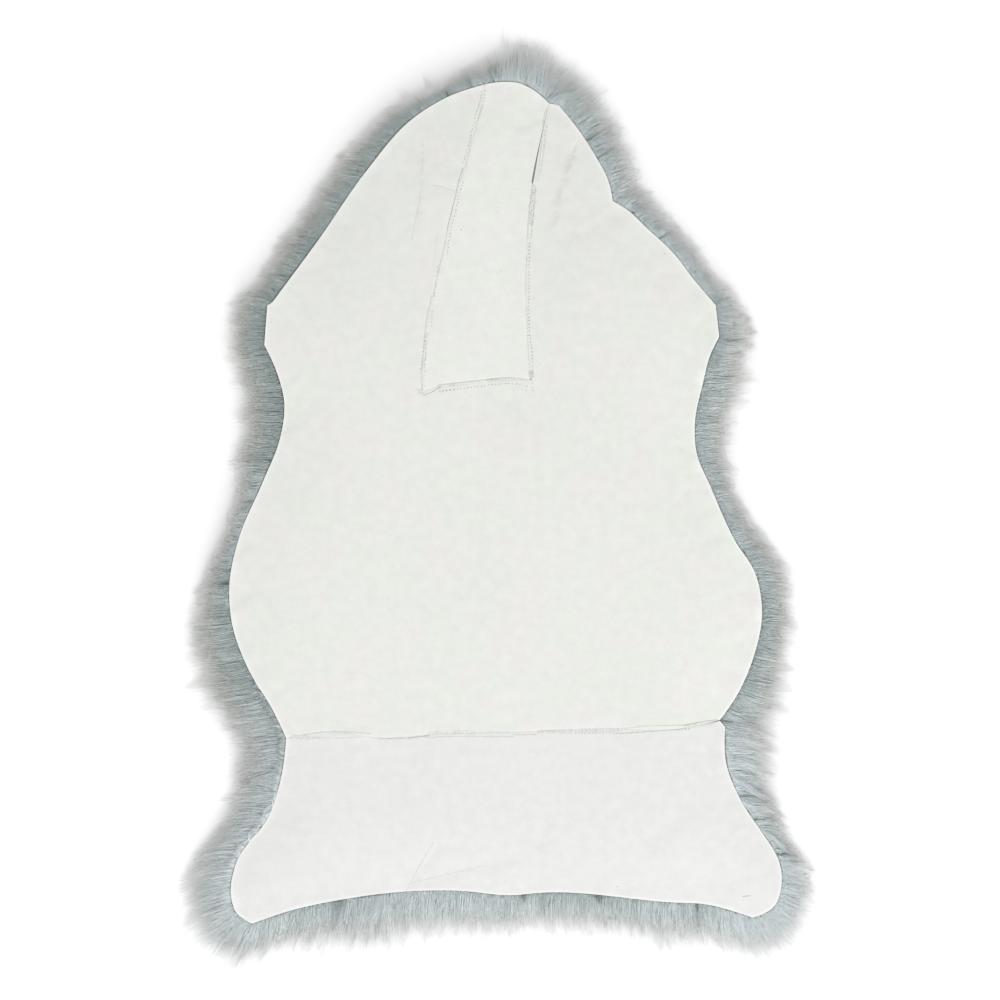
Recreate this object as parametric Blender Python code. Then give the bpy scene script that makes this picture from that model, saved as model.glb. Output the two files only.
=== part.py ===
# Sheepskin rug, lying wool down with its skin side up, as cut and sewn.
# Three cuts of pelt (body, neck insert, rump panel), each a thin skin on its fleece.
# Metres, +Z up, +Y towards the neck. The floor is z = 0.

import math
import random

import bmesh
import bpy
import numpy as np
from mathutils import Vector
from mathutils.geometry import delaunay_2d_cdt

MM = 0.001

# Driving dimensions, metres
HIDE_THICKNESS = 0.002
PANEL_GAP = 0.0003          # between two cuts, and between a skin and its fleece
CROWN_HEIGHT = 0.034        # top of the skin in the middle, on its pressed wool
EDGE_HEIGHT = 0.027         # top of the skin at its cut edge
EDGE_FALL_WIDTH = 0.070     # band along the edge in which the skin comes down
WAVE_HEIGHT = 0.0012        # slow unevenness of the skin
WAVE_ALONG = (27.0, 9.0)    # its waves over x and y, radians a metre
WAVE_ACROSS = (-6.0, 19.0)
GRID_PITCH = 0.028          # spacing of the points inside a cut
GRID_CLEARANCE = 0.55       # least share of that spacing between them and the outline
LOCK_PITCH = 0.0105         # one lock of wool for each such step of cut edge
SEAM_PITCH = 0.020
BULGE_SHARE = 0.50          # share of the wool's reach that is still solid fleece
RIM_HEIGHT = 0.015          # top of the solid fleece at its outer rim
RIM_CLEARANCE = 0.0025      # the rim's lower edge, above the floor
RIM_UNEVENNESS = 0.001
LUMP_HEIGHT = 0.005         # hollows between the tufts underneath
FLAT_TUFT_SHARE = 0.6       # share of the tufts that are pressed flat on the floor
REST_RADIUS = 0.070         # pressed flat tuft in the middle of the underside
LOCK_BEND = 0.10            # sideways, as a share of the lock's width
LOCK_REACH = (0.90, 1.03)   # a lock's length, as a share of the way from rim to tip
LOCK_MIDDLE = (0.45, 0.66, 0.0085)  # share of the way, share of the width, height
LOCK_TIP = (1.0, 0.16, 0.0016)
SEED = 11

# Cut edge of the skin in mm, anticlockwise from above. "corner" keeps a sharp turn.
NECK_END = (
    # x, y, turn
    (49.0, 397.0, "corner"),
    (34.0, 410.0, "round"),
    (20.0, 417.0, "round"),
    (7.0, 418.5, "round"),
)
LEFT_SIDE = (
    (-15.0, 416.0, "corner"),
    (-52.0, 403.5, "round"),
    (-87.5, 381.5, "round"),
    (-134.0, 329.0, "round"),
    (-182.0, 260.0, "round"),
    (-227.0, 199.0, "corner"),
    (-233.0, 195.0, "corner"),
    (-236.0, 155.0, "corner"),
    (-224.0, 129.0, "round"),
    (-216.0, 97.0, "round"),
    (-220.5, 61.0, "round"),
    (-237.0, 19.0, "round"),
    (-262.0, -40.0, "round"),
    (-271.0, -86.0, "round"),
    (-268.0, -125.0, "round"),
    (-252.0, -169.0, "round"),
    (-227.0, -211.0, "round"),
)
RUMP_EDGE = (
    (-214.0, -238.0, "corner"),
    (-219.0, -277.0, "round"),
    (-232.0, -317.0, "round"),
    (-264.0, -363.0, "round"),
    (-269.0, -398.0, "round"),
    (-265.0, -411.0, "round"),
    (-248.0, -424.0, "corner"),
    (-210.0, -411.0, "round"),
    (-164.0, -401.0, "round"),
    (-95.0, -392.0, "round"),
    (-42.0, -391.0, "round"),
    (12.0, -395.5, "round"),
    (42.0, -393.0, "round"),
    (177.0, -403.0, "round"),
    (200.0, -404.0, "round"),
    (252.5, -418.0, "corner"),
    (273.0, -408.0, "round"),
    (282.0, -376.0, "round"),
    (278.0, -358.0, "round"),
    (266.0, -338.0, "round"),
    (241.0, -300.0, "round"),
    (226.0, -261.0, "round"),
    (225.5, -227.0, "corner"),
)
RIGHT_SIDE = (
    (220.0, -220.5, "corner"),
    (238.0, -194.0, "round"),
    (255.0, -153.0, "round"),
    (262.0, -119.0, "round"),
    (254.5, -71.0, "round"),
    (236.0, -42.0, "round"),
    (211.0, 13.0, "round"),
    (197.0, 47.0, "round"),
    (195.0, 75.0, "round"),
    (203.0, 116.0, "round"),
    (211.0, 146.0, "round"),
    (219.6, 163.0, "corner"),
    (216.0, 195.0, "corner"),
    (193.0, 222.0, "round"),
    (175.0, 245.5, "round"),
    (145.0, 274.0, "round"),
    (128.0, 290.0, "round"),
    (113.0, 299.0, "corner"),
    (108.0, 321.0, "round"),
    (97.0, 342.0, "round"),
    (84.0, 363.0, "round"),
    (59.0, 395.0, "corner"),
)

# Seams in mm, x and y, between the corners that they join
NECK_SEAM_LEFT = ((-15, 416), (-30, 350), (-45, 300), (-60, 234), (-76, 160), (-77.5, 107))
NECK_SEAM_FOOT = ((-77.5, 107), (-65, 113), (-28, 118.5), (9, 122.5), (31, 120))
NECK_SEAM_RIGHT = ((31, 120), (27, 165), (26, 238), (29, 293), (38, 348), (49, 397))
RUMP_SEAM = (
    (-214, -238), (-170, -231.5), (-116, -238), (-71, -234.5),
    (12, -232), (120, -228.5), (160, -230.5), (220, -220.5),
)

# How the wool lies past the cut edge: where on the edge (mm), how far it reaches
# (mm), and which way it points (degrees, 0 = +X, 90 = +Y)
PILE = (
    # x, y, reach, heading
    (7, 418, 45, 92),
    (-52, 403, 40, 118),
    (-134, 329, 42, 148),
    (-200, 236, 45, 160),
    (-236, 175, 40, 180),
    (-216, 97, 48, 182),
    (-237, 19, 35, 184),
    (-262, -40, 27, 184),
    (-270, -100, 38, 184),
    (-240, -190, 58, 188),
    (-216, -260, 58, 188),
    (-248, -340, 48, 190),
    (-268, -395, 42, 200),
    (-248, -424, 46, 245),
    (-164, -401, 50, 262),
    (-120, -395, 54, 262),
    (-60, -391, 46, 266),
    (42, -393, 35, 270),
    (177, -403, 40, 275),
    (252, -418, 44, 295),
    (281, -385, 32, 340),
    (260, -328, 30, 345),
    (226, -255, 52, 345),
    (250, -165, 40, 350),
    (262, -119, 30, 355),
    (236, -42, 36, 0),
    (204, 28, 32, 0),
    (203, 116, 48, 5),
    (217, 185, 34, 15),
    (175, 245, 38, 35),
    (113, 299, 48, 40),
    (84, 363, 45, 48),
    (54, 396, 48, 65),
)

# Soft troughs pressed into the skin: ends in mm, then width and depth in mm
CREASES = (
    # x0, y0, x1, y1, width, depth
    (75, 350, 60, 280, 14, 2.2),
    (112, 293, 82, 275, 9, 1.6),
    (-78, 341, -88, 261, 12, 1.4),
    (18, 371, 41, 378, 8, 1.2),
    (9, 100, 27, 82, 10, 1.2),
    (-92, -390, -60, -345, 12, 1.8),
    (-75, -380, 20, -358, 12, 1.2),
    (40, -345, 50, -320, 11, 1.2),
)

HIDE_COLOUR = (0.80, 0.80, 0.77, 1.0)
WOOL_COLOUR = (0.47, 0.51, 0.51, 1.0)


def clear_scene():
    for thing in list(bpy.data.objects):
        bpy.data.objects.remove(thing, do_unlink=True)


def material(name, colour, roughness):
    made = bpy.data.materials.new(name)
    made.use_nodes = True
    shader = made.node_tree.nodes["Principled BSDF"]
    shader.inputs["Base Color"].default_value = colour
    shader.inputs["Roughness"].default_value = roughness
    shader.inputs["Metallic"].default_value = 0.0
    return made


def tangents(points, sharp):
    """Unit tangents of a smooth line, or None at an end or a corner."""
    found = [None] * len(points)
    for i in range(1, len(points) - 1):
        if sharp[i]:
            continue
        before = points[i] - points[i - 1]
        after = points[i + 1] - points[i]
        near, far = np.linalg.norm(before), np.linalg.norm(after)
        found[i] = (before / near * far + after / far * near) / (near + far)
    return found


def smooth_line(points, sharp, pitch):
    """Points at an even pitch on a curve through the given ones, all but the last."""
    slopes = tangents(points, sharp)
    line = []
    for i in range(len(points) - 1):
        chord = points[i + 1] - points[i]
        length = np.linalg.norm(chord)
        start, end = slopes[i], slopes[i + 1]
        if start is None and end is None:
            start = end = chord / length
        elif start is None:
            start = 1.5 * chord / length - 0.5 * end
        elif end is None:
            end = 1.5 * chord / length - 0.5 * start
        steps = max(1, round(length / pitch))
        for t in np.arange(steps) / steps:
            line.append(
                (2 * t**3 - 3 * t**2 + 1) * points[i]
                + (t**3 - 2 * t**2 + t) * length * start
                + (3 * t**2 - 2 * t**3) * points[i + 1]
                + (t**3 - t**2) * length * end
            )
    return line


def edge_line(rows, next_rows):
    """A stretch of cut edge, up to the start of the next stretch."""
    listed = list(rows) + [next_rows[0]]
    points = [np.array(row[:2]) * MM for row in listed]
    sharp = [row[2] == "corner" for row in listed]
    return smooth_line(points, sharp, LOCK_PITCH)


def seam_line(rows):
    """Points along a seam, both ends included."""
    points = [np.array(row, float) * MM for row in rows]
    return smooth_line(points, [False] * len(points), SEAM_PITCH) + [points[-1]]


def distance_to_run(points, start, end):
    """Distance of each point from a straight run."""
    along = end - start
    share = np.clip((points - start) @ along / (along @ along), 0.0, 1.0)
    return np.linalg.norm(points - start - share[:, None] * along, axis=1)


def distance_to_edge(points, ring):
    """Distance of each point from the nearest run of an outline."""
    runs = zip(ring, np.roll(ring, -1, axis=0))
    return np.min([distance_to_run(points, start, end) for start, end in runs], axis=0)


def skin_heights(points, ring):
    """Height of the skin's upper face over each point."""
    share = np.clip(distance_to_edge(points, ring) / EDGE_FALL_WIDTH, 0.0, 1.0)
    heights = EDGE_HEIGHT + (CROWN_HEIGHT - EDGE_HEIGHT) * share * (2 - share)
    x, y = points[:, 0], points[:, 1]
    along = WAVE_ALONG[0] * x + WAVE_ALONG[1] * y
    across = WAVE_ACROSS[0] * x + WAVE_ACROSS[1] * y
    heights += WAVE_HEIGHT * np.sin(along) * np.cos(across)
    for x0, y0, x1, y1, width, depth in CREASES:
        start, end = np.array((x0, y0)) * MM, np.array((x1, y1)) * MM
        off = distance_to_run(points, start, end) / (width * MM)
        heights -= depth * MM * np.exp(-(off**2))
    return heights


def pile_at(points, ring):
    """Wool's reach and unit heading at each point, blended along the cut edge."""
    steps = np.linalg.norm(np.roll(ring, -1, axis=0) - ring, axis=1)
    places = np.concatenate([[0.0], np.cumsum(steps)[:-1]])

    def place_of(point):
        return places[np.argmin(np.linalg.norm(ring - point, axis=1))]

    rows = sorted((place_of(np.array(row[:2]) * MM), *row[2:]) for row in PILE)
    at, reach, heading = np.array(rows).T
    where = [place_of(point) for point in points]
    around = {"period": steps.sum()}
    heading = np.radians(heading)
    way = np.stack(
        [
            np.interp(where, at, np.cos(heading), **around),
            np.interp(where, at, np.sin(heading), **around),
        ],
        axis=1,
    )
    way /= np.linalg.norm(way, axis=1)[:, None]
    return np.interp(where, at, reach * MM, **around), way


def drawn_in(ring, by):
    """The outline moved inwards by half the gap between two cuts."""
    before, after = ring - np.roll(ring, 1, axis=0), np.roll(ring, -1, axis=0) - ring
    before /= np.linalg.norm(before, axis=1)[:, None]
    after /= np.linalg.norm(after, axis=1)[:, None]
    inward = np.stack([-before[:, 1] - after[:, 1], before[:, 0] + after[:, 0]], axis=1)
    cosine = np.clip((1 + np.sum(before * after, axis=1)) / 2, 0.2, 1.0)
    inward /= np.linalg.norm(inward, axis=1)[:, None]
    return ring + inward * (by / np.sqrt(cosine))[:, None]


def inside(points, ring):
    """Whether each point is within the outline, by counting crossings."""
    x, y = points[:, 0], points[:, 1]
    within = np.zeros(len(points), bool)
    for (x0, y0), (x1, y1) in zip(ring, np.roll(ring, -1, axis=0)):
        if y0 != y1:
            crosses = (y0 > y) != (y1 > y)
            within ^= crosses & (x < x0 + (y - y0) * (x1 - x0) / (y1 - y0))
    return within


def inner_points(ring):
    """Staggered rows of points inside an outline, clear of its edge."""
    low, high = ring.min(axis=0), ring.max(axis=0)
    found = []
    for row, y in enumerate(np.arange(low[1], high[1], GRID_PITCH * math.sqrt(3) / 2)):
        for x in np.arange(low[0] + (row % 2) * GRID_PITCH / 2, high[0], GRID_PITCH):
            found.append((x, y))
    found = np.array(found)
    clear = distance_to_edge(found, ring) > GRID_PITCH * GRID_CLEARANCE
    return found[clear & inside(found, ring)]


class Panel:
    """One cut: its outline with the open stretches of edge, points and triangles."""

    def __init__(self, name, stretches):
        self.name = name
        ring = np.array([point for line, _ in stretches for point in line])
        self.ring = drawn_in(ring, PANEL_GAP / 2)
        # An edge of the outline is open where wool stands out of it, not at a seam
        self.open = [is_open for line, is_open in stretches for _ in line]
        self.points = np.concatenate([self.ring, inner_points(self.ring)])
        flat = [Vector(point) for point in self.points]
        loop = list(range(len(self.ring)))
        made = delaunay_2d_cdt(flat, [], [loop], 1, 1e-7)
        origin = [sources[0] for sources in made[3]]
        self.triangles = [[origin[corner] for corner in face] for face in made[2]]


def panels():
    """The whole rug's cut edge, and its three cuts."""
    neck = edge_line(NECK_END, LEFT_SIDE)
    left = edge_line(LEFT_SIDE, RUMP_EDGE)
    rump = edge_line(RUMP_EDGE, RIGHT_SIDE)
    right = edge_line(RIGHT_SIDE, NECK_END)
    seam_left, seam_foot = seam_line(NECK_SEAM_LEFT), seam_line(NECK_SEAM_FOOT)
    seam_right, seam_rump = seam_line(NECK_SEAM_RIGHT), seam_line(RUMP_SEAM)
    whole = np.array(neck + left + rump + right)
    cuts = [
        Panel("neck", [
            (neck, True), (seam_left[:-1], False),
            (seam_foot[:-1], False), (seam_right[:-1], False),
        ]),
        Panel("body", [
            (left, True), (seam_rump[:-1], False), (right, True),
            (seam_right[:0:-1], False), (seam_foot[:0:-1], False),
            (seam_left[:0:-1], False),
        ]),
        Panel("rump", [(rump, True), (seam_rump[:0:-1], False)]),
    ]
    return whole, cuts


def add_object(name, mesh_maker, finish):
    bmesh.ops.recalc_face_normals(mesh_maker, faces=mesh_maker.faces[:])
    mesh = bpy.data.meshes.new(name)
    mesh_maker.to_mesh(mesh)
    mesh_maker.free()
    mesh.materials.append(finish)
    made = bpy.data.objects.new(name, mesh)
    bpy.context.scene.collection.objects.link(made)
    return made


def top_face(panel, heights):
    """A bmesh of the cut's upper face, and its points in order."""
    maker = bmesh.new()
    points = [maker.verts.new((x, y, z)) for (x, y), z in zip(panel.points, heights)]
    for corners in panel.triangles:
        maker.faces.new([points[corner] for corner in corners])
    return maker, points


def drop_copy(maker):
    """Closes the open sheet with a copy of itself, whose points are returned."""
    made = bmesh.ops.extrude_face_region(maker, geom=maker.faces[:])
    return [thing for thing in made["geom"] if isinstance(thing, bmesh.types.BMVert)]


def hide(panel, whole, finish):
    """A cut's skin, a sheet of even thickness."""
    maker, _ = top_face(panel, skin_heights(panel.points, whole))
    for point in drop_copy(maker):
        point.co.z -= HIDE_THICKNESS
    return add_object("hide_" + panel.name, maker, finish)


def section(face, place, sides, low, high):
    """Moves a lock's end face: its four corners go to two sides and two heights."""
    middle = sum(corner.co.z for corner in face.verts) / 4
    for corner in face.verts:
        side = min((0, 1), key=lambda k: (corner.co.xy - place[k]).length)
        corner.co.z = high if corner.co.z > middle else low
        corner.co.x, corner.co.y = sides[side]


def lock(maker, wall, starts, ends, chance):
    """A lock of wool drawn out of one face of the rim, lying level on the floor."""
    place = [Vector(start) for start in starts]
    bend, reach = chance.uniform(-LOCK_BEND, LOCK_BEND), chance.uniform(*LOCK_REACH)
    for share, width, height in (LOCK_MIDDLE, LOCK_TIP):
        way = share * reach
        sides = [start + (end - start) * way for start, end in zip(starts, ends)]
        middle = (sides[0] + sides[1]) / 2 + (sides[1] - sides[0]) * bend
        sides = [middle + (side - (sides[0] + sides[1]) / 2) * width for side in sides]
        wall = bmesh.ops.extrude_discrete_faces(maker, faces=[wall])["faces"][0]
        section(wall, place, sides, 0.0, height)
        place = [Vector(side) for side in sides]


def fleece(panel, whole, finish):
    """A cut's wool: a lumpy slab under the skin, with locks round its open rim."""
    chance = random.Random(SEED + len(panel.points))
    count = len(panel.ring)
    tops = skin_heights(panel.points, whole) - HIDE_THICKNESS - PANEL_GAP
    maker, points = top_face(panel, tops)
    reach, way = pile_at(panel.ring, whole)
    rim, rim_at = {}, {}
    for i in range(count):
        if panel.open[i] or panel.open[i - 1]:
            rim_at[i] = panel.ring[i] + way[i] * reach[i] * BULGE_SHARE
            height = RIM_HEIGHT + chance.uniform(-RIM_UNEVENNESS, RIM_UNEVENNESS)
            rim[i] = maker.verts.new((*rim_at[i], height))
    for i in range(count):
        if panel.open[i]:
            j = (i + 1) % count
            maker.faces.new((points[i], rim[i], rim[j], points[j]))
    upper = set(maker.faces)
    for point in drop_copy(maker):
        flat = point.co.xy.length < REST_RADIUS or chance.random() < FLAT_TUFT_SHARE
        point.co.z = 0.0 if flat else chance.random() * LUMP_HEIGHT
    for i in range(count):
        if not panel.open[i]:
            continue
        j = (i + 1) % count
        edge = maker.edges.get((rim[i], rim[j]))
        wall = next(face for face in edge.link_faces if face not in upper)
        for corner in wall.verts:
            if corner not in (rim[i], rim[j]):
                corner.co.z = RIM_CLEARANCE
        ends = [panel.ring[k] + way[k] * reach[k] for k in (i, j)]
        lock(maker, wall, [rim_at[i], rim_at[j]], ends, chance)
    return add_object("fleece_" + panel.name, maker, finish)


def centre(pieces):
    """Moves the rug so that the middle of its footprint stands on the origin."""
    corners = np.array([point.co[:2] for piece in pieces for point in piece.data.vertices])
    middle = (corners.min(axis=0) + corners.max(axis=0)) / 2
    for piece in pieces:
        piece.location = (-middle[0], -middle[1], 0.0)


def build():
    clear_scene()
    leather = material("dyed_skin", HIDE_COLOUR, 0.85)
    wool = material("dyed_wool", WOOL_COLOUR, 0.95)
    whole, cuts = panels()
    pieces = []
    for panel in cuts:
        pieces.append(hide(panel, whole, leather))
        pieces.append(fleece(panel, whole, wool))
    centre(pieces)


build()
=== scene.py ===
import math

import bmesh
import bpy
import numpy as np
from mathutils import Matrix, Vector
from mathutils.bvhtree import BVHTree


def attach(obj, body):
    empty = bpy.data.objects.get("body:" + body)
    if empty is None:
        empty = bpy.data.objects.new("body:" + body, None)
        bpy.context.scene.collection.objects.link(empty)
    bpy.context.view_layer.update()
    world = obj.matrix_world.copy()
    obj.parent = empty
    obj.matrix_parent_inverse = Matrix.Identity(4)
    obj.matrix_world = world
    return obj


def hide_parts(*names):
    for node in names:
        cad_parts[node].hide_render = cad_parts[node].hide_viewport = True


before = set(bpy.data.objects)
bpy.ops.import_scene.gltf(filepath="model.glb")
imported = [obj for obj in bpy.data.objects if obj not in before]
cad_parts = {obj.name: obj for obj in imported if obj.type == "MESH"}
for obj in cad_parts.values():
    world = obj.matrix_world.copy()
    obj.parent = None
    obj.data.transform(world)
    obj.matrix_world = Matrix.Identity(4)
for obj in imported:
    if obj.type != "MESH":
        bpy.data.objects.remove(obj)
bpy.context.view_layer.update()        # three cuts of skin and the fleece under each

mm = 0.001
chance = np.random.default_rng(11)

# Places on the rug are in mm from the middle of the cutting pattern, which lies here
pattern = {"x": 0.33 * mm, "y": 1.49 * mm}

print("frame loaded")


def rows(columns, *table):
    # a table as one dictionary for each of its rows
    return [dict(zip(columns.split(), row)) for row in table]


def placed(points):
    # pattern places in mm to metres in the frame
    return np.array(points, float) * mm + (pattern["x"], pattern["y"])


def paint(red, green, blue):
    # an sRGB colour, 0 to 255, as linear values
    shares = [level / 255 for level in (red, green, blue)]
    return tuple(x / 12.92 if x <= 0.04045 else ((x + 0.055) / 1.055) ** 2.4 for x in shares) + (1.0,)


class Value:
    # a socket that takes part in sums, each of which adds a Math node
    def __init__(self, finish, socket):
        self.finish, self.socket = finish, socket

    def maths(self, operation, first, second):
        return self.finish.node("Math", {"operation": operation}, {0: first, 1: second})

    def __add__(self, other):
        return self.maths("ADD", self, other)

    def __radd__(self, other):
        return self.maths("ADD", other, self)

    def __sub__(self, other):
        return self.maths("SUBTRACT", self, other)

    def __rsub__(self, other):
        return self.maths("SUBTRACT", other, self)

    def __mul__(self, other):
        return self.maths("MULTIPLY", self, other)

    def __rmul__(self, other):
        return self.maths("MULTIPLY", other, self)


class Finish:
    # a material while its nodes are put together
    def __init__(self, name, settings):
        self.material = bpy.data.materials.new(name)
        self.material.use_nodes = True
        self.tree = self.material.node_tree
        self.shader = self.tree.nodes["Principled BSDF"]
        self.set(self.shader, settings)

    def done(self, inputs):
        # the material, once what varies over the surface is on its shader
        self.set(self.shader, inputs)
        return self.material

    def set(self, node, inputs):
        for socket, value in inputs.items():
            if isinstance(value, Value):
                self.tree.links.new(value.socket, node.inputs[socket])
            else:
                node.inputs[socket].default_value = value

    def node(self, kind, settings=None, inputs=None, output=0):
        made = self.tree.nodes.new("ShaderNode" + kind)
        for name, value in (settings or {}).items():
            if name == "stops":
                ramp = made.color_ramp
                while len(ramp.elements) < len(value):
                    ramp.elements.new(0.5)
                for element, (place, *colour) in zip(ramp.elements, value):
                    element.position, element.color = place, paint(*colour)
            else:
                setattr(made, name, value)
        self.set(made, inputs or {})
        return Value(self, made.outputs[output])

    def where(self):
        return self.node("TexCoord", output="Object")

    def carried(self, name):
        # a number that the mesh carries at its points
        return self.node("Attribute", {"attribute_name": name}, output="Fac")

    def noise(self, where, scale, detail=3.0, roughness=0.5):
        return self.node("TexNoise", None, {
            "Vector": where, "Scale": scale, "Detail": detail, "Roughness": roughness})

    def ramp(self, value, stops):
        return self.node("ValToRGB", {"stops": stops}, {0: value})

    def between(self, value, low, high, lowest=0.0, highest=1.0):
        return self.node("MapRange", {"clamp": True}, {
            0: value, 1: low, 2: high, 3: lowest, 4: highest})

    def mix(self, share, first, second, way="MIX"):
        return self.node("Mix", {"data_type": "RGBA", "blend_type": way},
                         {0: share, 6: first, 7: second}, output=2)

    def shaded(self, colour, shade):
        # a colour made darker or lighter by a number
        grey = self.node("CombineColor", None, {0: shade, 1: shade, 2: shade})
        return self.mix(1.0, colour, grey, "MULTIPLY")

    def bump(self, height, distance, strength=1.0):
        return self.node("Bump", None, {
            "Height": height, "Distance": distance, "Strength": strength})


class Line:
    # a line on the rug, read by distance along it
    def __init__(self, points):
        self.points = points
        steps = np.linalg.norm(np.diff(points, axis=0), axis=1)
        self.places = np.concatenate([[0.0], np.cumsum(steps)])
        self.length = self.places[-1]

    def nearest(self, spots):
        # for each spot how far the line is, and which place on it is nearest
        gaps = np.full(len(spots), np.inf)
        found = np.zeros(len(spots))
        for start, end, place in zip(self.points, self.points[1:], self.places):
            along = end - start
            share = np.clip((spots - start) @ along / (along @ along), 0.0, 1.0)
            off = np.linalg.norm(spots - start - share[:, None] * along, axis=1)
            closer = off < gaps
            gaps[closer] = off[closer]
            found[closer] = place + share[closer] * np.linalg.norm(along)
        return gaps, found

    def placeOf(self, spot):
        return self.nearest(np.array(spot)[None])[1][0]

    def read(self, where, values):
        return np.stack([np.interp(where, self.places, part) for part in values.T], axis=-1)

    def point(self, where):
        return self.read(where, self.points)

    def way(self, where, reach=2 * mm):
        ahead = self.point(where + reach) - self.point(where - reach)
        return ahead / np.linalg.norm(ahead, axis=-1, keepdims=True)


def toLeft(ways):
    # the same directions turned a quarter to the left
    return np.stack([-ways[..., 1], ways[..., 0]], axis=-1)


def closed(ring):
    return np.concatenate([ring, ring[:1]])


def bell(off, width):
    # 1 on a line or spot, fading to 0 within about two widths
    return np.exp(-((off / width) ** 2))


def halfway(ring, cornerTurn=28.0):
    # places half way along each step of a closed line, on a curve except at corners
    before, after = np.roll(ring, 1, axis=0), np.roll(ring, -1, axis=0)
    come, go = ring - before, after - ring
    lengths = np.linalg.norm(come, axis=1) * np.linalg.norm(go, axis=1)
    smooth = np.einsum("ij,ij->i", come, go) / lengths > math.cos(math.radians(cornerTurn))
    bend = (2 * ring - before - after) * smooth[:, None]
    both = smooth & np.roll(smooth, -1)
    weight = np.where(both, 1 / 16, 1 / 8)[:, None]
    return (ring + after) / 2 + (bend + np.roll(bend, -1, axis=0)) * weight


def edgeLoop(maker, start=None):
    # the points round a sheet's open edge, with the sheet on their left, from the one
    # nearest to a place
    following = {}
    for line in maker.edges:
        if line.is_boundary:
            turn = line.link_loops[0]
            following[turn.vert] = turn.link_loop_next.vert
    first = next(iter(following))
    if start is not None:
        first = min(following, key=lambda point: (point.co - start).length)
    loop = [first]
    while following[loop[-1]] != first:
        loop.append(following[loop[-1]])
    return loop


def flat(points):
    return np.array([point.co[:2] for point in points])


def refine(maker, near=None):
    # splits the edges in two, all of them or those near something, and rounds the outline
    loop = edgeLoop(maker)
    start = loop[0].co.copy()
    middles = halfway(np.array([point.co[:] for point in loop]))
    lines = maker.edges[:]
    if near:
        points = maker.verts[:]
        close = dict(zip(points, near(flat(points))))
        lines = [e for e in lines if e.is_boundary or all(close[p] for p in e.verts)]
    bmesh.ops.subdivide_edges(maker, edges=lines, cuts=1, use_grid_fill=True)
    for point, place in zip(edgeLoop(maker, start)[1::2], middles):
        point.co = place


def shown(name, mesh, material):
    # a mesh as a finished piece at the origin
    mesh.materials.append(material)
    mesh.shade_smooth()
    piece = bpy.data.objects.new(name, mesh)
    bpy.context.scene.collection.objects.link(piece)
    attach(piece, "root")
    return piece


def fromMaker(name, maker):
    mesh = bpy.data.meshes.new(name)
    maker.to_mesh(mesh)
    maker.free()
    return mesh


def carry(mesh, name, values):
    # gives the mesh a number at each point, for its material
    mesh.attributes.new(name, "FLOAT", "POINT").data.foreach_set("value", np.asarray(values, np.float32))


def copies(name, points, faces):
    # a mesh of one shape many times over, each time with its own points
    count, each = points.shape[:2]
    mesh = bpy.data.meshes.new(name)
    mesh.vertices.add(count * each)
    mesh.vertices.foreach_set("co", points.reshape(-1).astype(np.float32))
    corners = np.concatenate([np.array(face) for face in faces])
    loops = (corners + np.arange(count)[:, None] * each).reshape(-1)
    mesh.loops.add(len(loops))
    mesh.loops.foreach_set("vertex_index", loops.astype(np.int32))
    sizes = np.tile([len(face) for face in faces], count)
    mesh.polygons.add(len(sizes))
    mesh.polygons.foreach_set("loop_start", np.concatenate([[0], np.cumsum(sizes)[:-1]]).astype(np.int32))
    mesh.update(calc_edges=True)
    return mesh


joining = {
    "within": 0.01 * mm,          # points of one cut closer than this are one point
    "across": 0.9 * mm,           # and points on the two sides of a seam
    "facesUp": 0.5,               # an upper face's normal has at least this in z
}


def upperFace(cut):
    # a merged copy of the upper face of one cut's skin
    maker = bmesh.new()
    maker.from_mesh(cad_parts["hide_" + cut].data)
    bmesh.ops.remove_doubles(maker, verts=maker.verts[:], dist=joining["within"])
    maker.normal_update()
    away = [face for face in maker.faces if face.normal.z < joining["facesUp"]]
    bmesh.ops.delete(maker, geom=away, context="FACES")
    return maker


def wholeSheet():
    # the three cuts joined along their seams, each face marked with its cut
    whole = bmesh.new()
    for number, cut in enumerate(("body", "neck", "rump")):
        maker = upperFace(cut)
        for face in maker.faces:
            face.material_index = number
        mesh = fromMaker("sheet", maker)
        whole.from_mesh(mesh)
        bpy.data.meshes.remove(mesh)
    bmesh.ops.remove_doubles(whole, verts=whole.verts[:], dist=joining["across"])
    return whole


def seamLine(maker, cut, start):
    # the seam round one cut as points, from the end nearer to a place
    nextTo = {}
    for line in maker.edges:
        cuts = {face.material_index for face in line.link_faces}
        if len(cuts) == 2 and cut in cuts:
            one, other = line.verts
            nextTo.setdefault(one, []).append(other)
            nextTo.setdefault(other, []).append(one)
    ends = [point for point, others in nextTo.items() if len(others) == 1]
    points = [min(ends, key=lambda point: (point.co.xy - Vector(start)).length)]
    while True:
        onwards = [point for point in nextTo[points[-1]] if point not in points[-2:]]
        if not onwards:
            return flat(points)
        points.append(onwards[0])


# How far the skins gape along each seam: up to where on it (pattern mm), and how far in mm
neckGapes = rows(
    "to gap",
    ((31, 300), 0.1),
    ((33, 315), 0.2),
    ((34, 318), 1.9),
    ((36, 330), 1.9),
    ((38, 343), 1.3),
    ((40, 358), 0.7),
    ((44, 381), 0.35),
    ((48, 396), 0.1),
)
rumpGapes = rows(
    "to gap",
    ((206, -223), 0.1),
    ((219, -221), 0.9),
)


class Seam(Line):
    # a seam between two cuts, and how far it gapes
    def __init__(self, points, gapes):
        super().__init__(points)
        self.ends = np.array([self.placeOf(placed(row["to"])) for row in gapes])
        self.gaps = np.array([row["gap"] * mm for row in gapes])

    def gap(self, where):
        return np.interp(where, self.ends, self.gaps)


def rounded(maker, passes):
    for _ in range(passes):
        bmesh.ops.smooth_vert(maker, verts=maker.verts[:], factor=0.5, use_axis_z=True)


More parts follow.
